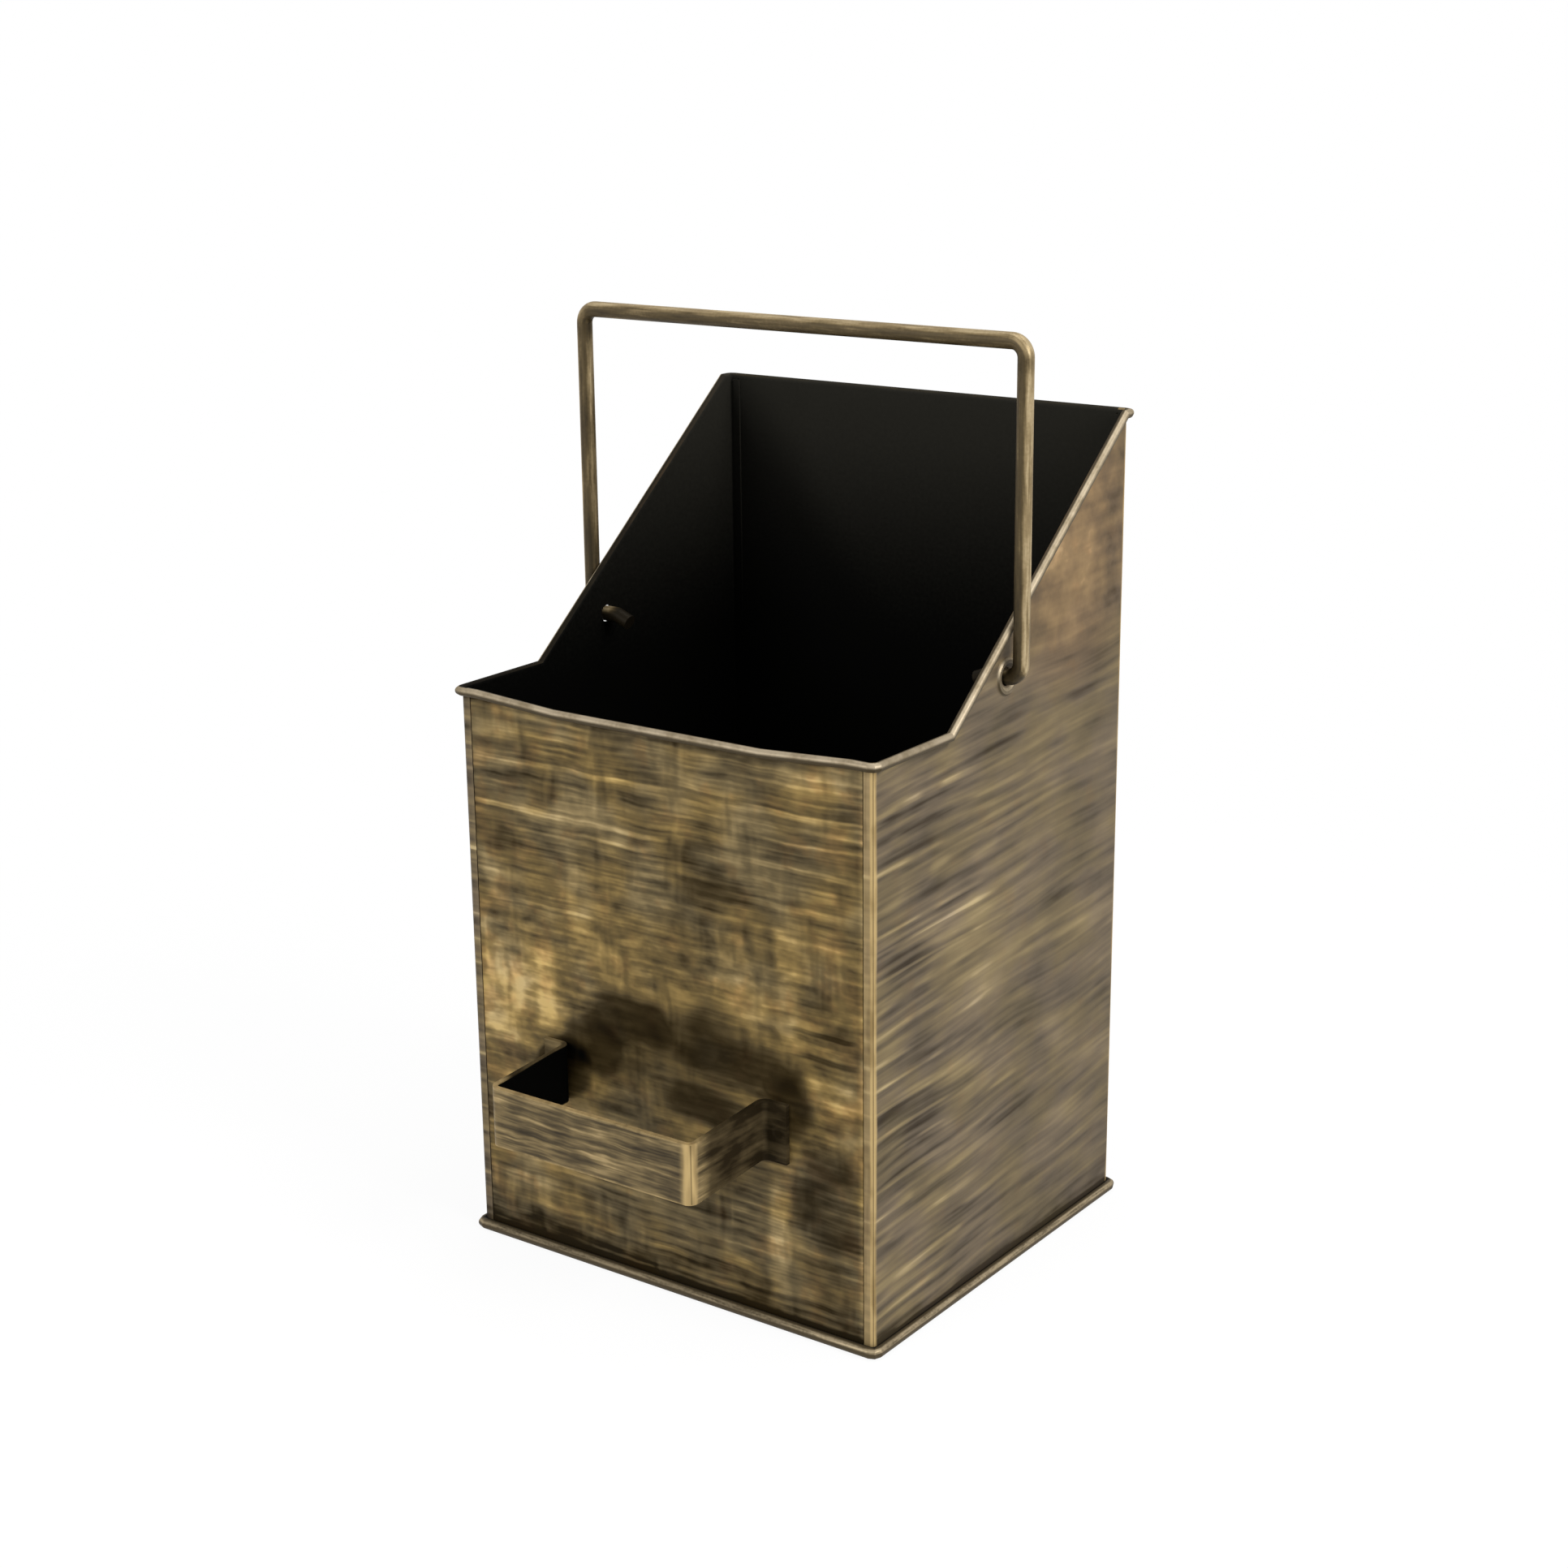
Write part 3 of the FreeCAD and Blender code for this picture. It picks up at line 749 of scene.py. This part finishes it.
def base_finish():
    """Bead with a pale line along its upper face, rubbed brass and painted highlight, dark bronze
    elsewhere, and a black floor sheet.
    """
    f = Finish("base_paint")
    streaks = f.noise((f.x + f.y) / BEAD_STREAK_LONG, f.z / BEAD_STREAK_HIGH,
                      (f.x - f.y) / BEAD_STREAK_TURN)
    grit = f.speckle(BEAD_GRIT)
    hidden = f.fade(proud_of_body(f), *UNDER_PANELS)
    more = f.larger(f.patch(f.x, f.y, *BEAD_CORNER), f.fade(abs(f.x), *BEAD_SIDES))
    # Painted highlight: a pale band on the bead's upper face, rubbed brass within it
    highlight_line = f.fade(f.nz, *BEAD_LINE_FOOT) * f.fade(f.nz, *BEAD_LINE_TOP)
    wear = f.fade(streaks * BEAD_STREAK_SHARE + grit * BEAD_GRIT_SHARE, *BEAD_RUBBED)
    rubbed = wear * highlight_line * (BEAD_BRASS + more * BEAD_BRASS_MORE)
    colour = f.blend(rubbed, BRONZE_DARK, BEAD_PALE)
    return f.surface(colour, COAT_ROUGHNESS - rubbed * BRASS_SMOOTHER, rubbed * BRASS_METAL,
                     grit + streaks, BEAD_DEPTH, hidden, PAN_BLACK)


# Brass over black on the bail, from thin to thick
BAIL_STEPS = [(0.0, (0.016, 0.0112, 0.0050)), (0.35, (0.062, 0.044, 0.020)),
              (0.65, (0.20, 0.148, 0.076)), (1.0, (0.46, 0.370, 0.225))]
BAIL_TINT = (1, 1, 1)
# Grain along the wire in millimetres, and how often it changes round the wire
BAIL_GRIT = 1.2
BAIL_RUB_LONG = 30.0
BAIL_RUB_ROUND = 1.4
BAIL_LINE_LONG = 14.0
BAIL_LINE_ROUND = 4.0
BAIL_LINE_TURN = 3.0
BAIL_RUB_SWING = 0.9
BAIL_LINE_SWING = 0.6
BAIL_GRIT_SWING = 0.2
BAIL_BRASS = 0.27
# Stretches of the wire: the grip, the legs outside the body and the ends by their holes
ON_GRIP = (BAIL_GRIP - 14.0, BAIL_GRIP - 2.0)
ON_LEG = (HALF_WIDTH, HALF_WIDTH + 2.0)
NEAR_HOLE = (HALF_WIDTH - 9.0, HALF_WIDTH - 3.0)
LEG_FOOT = (BAIL_GRIP - 70.0, BAIL_GRIP - 115.0)
# Which way the faces with painted highlights look and how much brass they have more, and how much
# less the stubs and the legs' inner feet have
HIGHLIGHT_OUTWARD = (0.10, 0.85)
HIGHLIGHT_OUTWARD_MORE = 0.44
HIGHLIGHT_INWARD = (-0.60, -0.95)
HIGHLIGHT_INWARD_MORE = 0.24
HOLE_UPWARD = (0.1, 0.8)
HOLE_MORE = 0.75
STUB_LESS = 0.22
LEG_FOOT_INWARD = (0.7, 0.3)
LEG_FOOT_LESS = 0.25
STUB_DULL = 0.75
BAIL_ROUGHNESS = 0.48
BAIL_SMOOTHER = 0.12
BAIL_GRIT_HEIGHT = 0.4
BAIL_DEPTH = 0.12


def bail_finish():
    """Dark bronze wire with rubbed streaks, and painted highlights along the top of its grip, on
    both sides of its legs and on its ends by the holes.
    """
    f = Finish("bail_paint")
    along = f.x + f.z
    turned = f.nx + f.nz
    rubbed = f.noise(along / BAIL_RUB_LONG, f.ny * BAIL_RUB_ROUND, turned)
    lines = f.noise(along / BAIL_LINE_LONG, f.ny * BAIL_LINE_ROUND, turned * BAIL_LINE_TURN)
    grit = f.speckle(BAIL_GRIT)
    outer = f.nx * f.math("SIGN", f.x)
    on_grip = f.fade(f.z, *ON_GRIP)
    on_leg = f.fade(abs(f.x), *ON_LEG) * (1 - on_grip)
    on_stub = (1 - on_leg) * (1 - on_grip)
    # Painted highlight on the top of each end, by its hole
    hole_highlight = f.fade(abs(f.x), *NEAR_HOLE) * f.fade(f.nz, *HOLE_UPWARD)

    # Painted highlights on the top of the grip, the outer side of the legs and their inner side
    worn = f.fade(outer + f.nz, *HIGHLIGHT_OUTWARD) * HIGHLIGHT_OUTWARD_MORE
    worn = worn + f.fade(outer, *HIGHLIGHT_INWARD) * on_leg * HIGHLIGHT_INWARD_MORE
    shape = worn * (1 - on_stub) + (hole_highlight * HOLE_MORE - STUB_LESS) * on_stub
    leg_foot = f.fade(f.z, *LEG_FOOT) * on_leg * f.fade(outer, *LEG_FOOT_INWARD) * LEG_FOOT_LESS
    gold = either_way(rubbed, BAIL_RUB_SWING) + either_way(lines, BAIL_LINE_SWING)
    gold = gold + either_way(grit, BAIL_GRIT_SWING) + BAIL_BRASS + shape - leg_foot
    gold = f.limited(gold)
    colour = f.ramp(gold, tinted(BAIL_STEPS, BAIL_TINT))
    return f.surface(colour, BAIL_ROUGHNESS - gold * BAIL_SMOOTHER, gold * BRASS_METAL,
                     gold + grit * BAIL_GRIT_HEIGHT, BAIL_DEPTH,
                     on_stub * (1 - hole_highlight) * STUB_DULL)


# Brass over black on the strap, from thin to thick
STRAP_STEPS = [(0.0, (0.014, 0.0100, 0.0048)), (0.35, (0.062, 0.0465, 0.0235)),
               (0.65, (0.165, 0.124, 0.060)), (1.0, (0.38, 0.290, 0.150))]
STRAP_TINT = (1.02, 0.99, 0.95)
# Brush marks on the strap, and its upright grain in millimetres
STRAP_SWAY = Marks(20.0, 20.0, 3.0, 2.0)
STRAP_LINES = Marks(30.0, 2.0, 70.0, 1.0)
STRAP_BRISTLES = Marks(14.0, 0.9, 77.0, 1.0)
STRAP_LOAD = Marks(18.0, 9.0, 4.0, 3.0)
STRAP_GRIT_WIDE = 3.0
STRAP_GRIT_HIGH = 20.0
STRAP_GRIT_DETAIL = 1.0
STRAP_LINE_STRAY = 3.0
STRAP_LINE_SWING = 1.4
STRAP_BRISTLE_SWING = 0.6
STRAP_LOAD_SWING = 1.2
# How thick the brass lies on the grip, on the arms and on the two feet
STRAP_BRASS = 0.48
ARM_LINES = 0.3
GRIP_LINES_MORE = 0.7
ARM_LESS = 0.34
LEFT_FOOT = (-STRAP_ARM - 1.0, -STRAP_ARM - 4.0)
LEFT_FOOT_MORE = 0.22
# The right foot is darker: painted shade where it meets the panel
RIGHT_FOOT = (STRAP_ARM + 1.0, STRAP_ARM + 4.0)
RIGHT_FOOT_SHADE = 0.08
# Where the strap droops, where its grip starts and where its edges and bends are worn
DROOP = (-HALF_DEPTH - 5.0, STRAP_GRIP)
AT_GRIP = (STRAP_GRIP + 12.0, STRAP_GRIP + 3.0)
WORN_EDGE = (0.9, 0.2)
WORN_EDGE_STRAY = 2.0
EDGE_WEAR = 0.45
BEND_DEEP = (STRAP_GRIP + 3.6, STRAP_GRIP + 1.4)
BEND_ACROSS = (STRAP_ARM - 5.5, STRAP_ARM - 1.5)
BEND_WORN = (-70.0, 30.0)
BEND_FULL = (0.3, 0.6)
# Inner face of the strap, short of its edges
INNER_ACROSS = (STRAP_ARM + 0.3, STRAP_ARM - 0.3)
INNER_DEEP = (STRAP_GRIP - 0.3, STRAP_GRIP + 0.3)
INNER_EDGE = (0.5, 0.1)
ARM_DULL = 0.95


def strap_finish():
    """Brushed strap with bare brass on its front bends, black inside."""
    f = Finish("strap_paint")
    along = f.x + f.y
    sway = f.marks(f.x, f.z, STRAP_SWAY)
    level = f.z + either_way(sway, STRAP_LINE_STRAY)
    lines = f.marks(along, level, STRAP_LINES)
    bristles = f.marks(along, level, STRAP_BRISTLES)
    load = f.marks(along, f.z, STRAP_LOAD)
    grit = f.noise(f.x / STRAP_GRIT_WIDE, f.y / STRAP_GRIT_WIDE, f.z / STRAP_GRIT_HIGH,
                   STRAP_GRIT_DETAIL)
    droop = f.fade(f.y, *DROOP) * STRAP_DROP
    from_edge = STRAP_HALF_WIDTH - abs(f.z + droop - STRAP_MIDDLE)
    at_grip = f.fade(f.y, *AT_GRIP)
    inner = f.fade(abs(f.x), *INNER_ACROSS) * f.fade(f.y, *INNER_DEEP)
    inner = inner * (1 - f.fade(from_edge, *INNER_EDGE))

    brushed = either_way(lines, STRAP_LINE_SWING) + either_way(bristles, STRAP_BRISTLE_SWING)
    gold = brushed * (ARM_LINES + at_grip * GRIP_LINES_MORE) + either_way(load, STRAP_LOAD_SWING)
    gold = gold + STRAP_BRASS - (1 - at_grip) * ARM_LESS
    gold = gold + f.fade(f.x, *LEFT_FOOT) * LEFT_FOOT_MORE
    # Painted shade on the right foot
    gold = gold - f.fade(f.x, *RIGHT_FOOT) * RIGHT_FOOT_SHADE
    gold = f.limited(gold)

    edge = f.fade(from_edge + either_way(lines, WORN_EDGE_STRAY), *WORN_EDGE) * at_grip
    bend = f.fade(f.y, *BEND_DEEP) * f.fade(abs(f.x), *BEND_ACROSS)
    worn = f.larger(bend * f.fade(f.x, *BEND_WORN), edge * EDGE_WEAR)
    rubbed = f.blend(f.fade(grit, *BEND_FULL), STRAP_RUBBED, BRASS_WORN)
    colour = f.blend(worn, f.ramp(gold, tinted(STRAP_STEPS, STRAP_TINT)), rubbed)
    bright = f.larger(gold, worn)
    dull = f.larger(inner, (1 - at_grip) * ARM_DULL)
    return f.surface(colour, COAT_ROUGHNESS - bright * BRASS_SMOOTHER, bright * BRASS_METAL,
                     gold + grit * GRIT_HEIGHT, PAINT_DEPTH, dull,
                     f.blend(inner, colour, COAT_BLACK))


# Plain wire: drawn lines in millimetres, and how it takes the light
DRAWN_LONG = 30.0
DRAWN_HIGH = 0.4
DRAWN_WIDE = 0.6
WIRE_ROUGHNESS = 0.34
WIRE_ROUGHER = 0.16
WIRE_METAL = 0.9
WIRE_DEPTH = 0.05


def wire_finish():
    """Plain drawn wire inside the rim."""
    f = Finish("rim_wire_steel")
    drawn = f.noise((f.x + f.y) / DRAWN_LONG, f.z / DRAWN_HIGH, (f.x - f.y) / DRAWN_WIDE)
    colour = f.blend(drawn, STEEL_DARK, STEEL_PALE)
    return f.surface(colour, WIRE_ROUGHNESS + drawn * WIRE_ROUGHER, WIRE_METAL, drawn, WIRE_DEPTH)


def paint(node, material):
    """Gives a piece its finish, on the object and not on its mesh."""
    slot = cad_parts[node].material_slots[0]
    slot.link = "OBJECT"
    slot.material = material


paint("front_panel", front_finish())
paint("back_panel", back_finish())
paint("right_side_panel", side_finish("right_side_paint", RIGHT_SEED, RIM_BRASS_TOP))
paint("left_side_panel", side_finish("left_side_paint", LEFT_SEED, RIM_DARK_TOP))
paint("base_pan", base_finish())
paint("rim_wire", wire_finish())
paint("bail_handle", bail_finish())
paint("tipping_handle", strap_finish())

# Floor: its reach and drop in metres, its white near the hod, and over which distance in
# millimetres it turns full white
FLOOR_REACH = 6.0
FLOOR_DROP = -0.0002
NEAR_WHITE = 0.92
FULL_WHITE = (250.0, 700.0)


def floor_finish():
    """White to the eye, less so near the hod, where the floor keeps its shadow."""
    f = Finish("floor_white")
    away = f.math("SQRT", f.x * f.x + f.y * f.y)
    seen = f.white_for_eye() * (NEAR_WHITE + f.fade(away, *FULL_WHITE) * (1 - NEAR_WHITE))
    plain = f.node("ShaderNodeBsdfDiffuse", None, {"Color": FLOOR_GREY})
    white = f.node("ShaderNodeEmission", None, {"Color": WHITE, "Strength": 1.0})
    mixed = f.node("ShaderNodeMixShader", None,
                   {0: seen, 1: plain.outputs[0], 2: white.outputs[0]})
    f.node("ShaderNodeOutputMaterial", None, {"Surface": mixed.outputs[0]})
    return f.material


def lay_floor():
    """Plain pale floor, just under the hod."""
    mesh = bpy.data.meshes.new("floor")
    corners = [(x * FLOOR_REACH, y * FLOOR_REACH, FLOOR_DROP)
               for x, y in ((-1, -1), (1, -1), (1, 1), (-1, 1))]
    mesh.from_pydata(corners, [], [(0, 1, 2, 3)])
    floor = bpy.data.objects.new("floor", mesh)
    bpy.context.scene.collection.objects.link(floor)
    floor.data.materials.append(floor_finish())


# How strongly the white room lights the hod
ROOM_LEVEL = 0.42
# Softboxes: place, aim and size in metres, and power in watts
SOFTBOXES = {
    "key": ((2.0, -0.1, 1.2), (0, 0, 0.17), (1.2, 1.2), 44.0),
    "fill": ((-0.6, -2.2, 1.0), (0, 0, 0.17), (1.2, 1.2), 30.0),
    "top": ((0.2, 0.3, 2.2), (0, 0, 0.2), (1.4, 1.4), 22.0),
}


def light_room(level):
    """A room that is white to the eye and lights the hod at a plain level."""
    world = bpy.data.worlds.new("studio")
    bpy.context.scene.world = world
    world.use_nodes = True
    room = Nodes(world.node_tree)
    strength = room.white_for_eye() * (1 - level) + level
    walls = room.node("ShaderNodeBackground", None, {"Color": WHITE, "Strength": strength})
    room.node("ShaderNodeOutputWorld", None, {"Surface": walls.outputs[0]})


def softbox(name, place, aim, size, power):
    """Soft lamp with a flat face that looks at its aim."""
    lamp = bpy.data.lights.new(name, "AREA")
    lamp.shape = "RECTANGLE"
    lamp.size, lamp.size_y = size
    lamp.energy = power
    holder = bpy.data.objects.new(name, lamp)
    holder.location = place
    holder.rotation_euler = (Vector(aim) - Vector(place)).to_track_quat("-Z", "Y").to_euler()
    bpy.context.scene.collection.objects.link(holder)


# Camera, as fitted to the hod's edges: angles in degrees, places in metres, lens in millimetres
CAMERA_TURN = 35.967
CAMERA_DOWN = 16.616
CAMERA_ROLL = -0.601
CAMERA_AIM = (0, 0, 0.170)
CAMERA_AWAY = 1.097175
CAMERA_LEFT = 0.005485
CAMERA_UP = 0.021084
CAMERA_NEAREST = 0.05
SENSOR_WIDTH = 36.0
LENS_LENGTH = 60.477


def place_camera():
    """Looks at the hod from the photograph's angle."""
    turn, down, roll = map(math.radians, (CAMERA_TURN, CAMERA_DOWN, CAMERA_ROLL))
    ahead = Vector((-math.sin(turn) * math.cos(down), math.cos(turn) * math.cos(down),
                    -math.sin(down)))
    level = Vector((math.cos(turn), math.sin(turn), 0))
    upright = level.cross(ahead)
    right = level * math.cos(roll) + upright * math.sin(roll)
    up = upright * math.cos(roll) - level * math.sin(roll)
    eye = Vector(CAMERA_AIM) - ahead * CAMERA_AWAY - right * CAMERA_LEFT + up * CAMERA_UP
    lens = bpy.data.cameras.new("camera")
    lens.sensor_fit = "HORIZONTAL"
    lens.sensor_width = SENSOR_WIDTH
    lens.lens = LENS_LENGTH
    lens.clip_start = CAMERA_NEAREST
    camera = bpy.data.objects.new("camera", lens)
    turned = Matrix((right, up, -ahead)).transposed().to_4x4()
    camera.matrix_world = Matrix.Translation(eye) @ turned
    bpy.context.scene.collection.objects.link(camera)
    bpy.context.scene.camera = camera


lay_floor()
light_room(ROOM_LEVEL)
for name, settings in SOFTBOXES.items():
    softbox(name, *settings)
place_camera()
bpy.context.scene.view_settings.view_transform = "Standard"
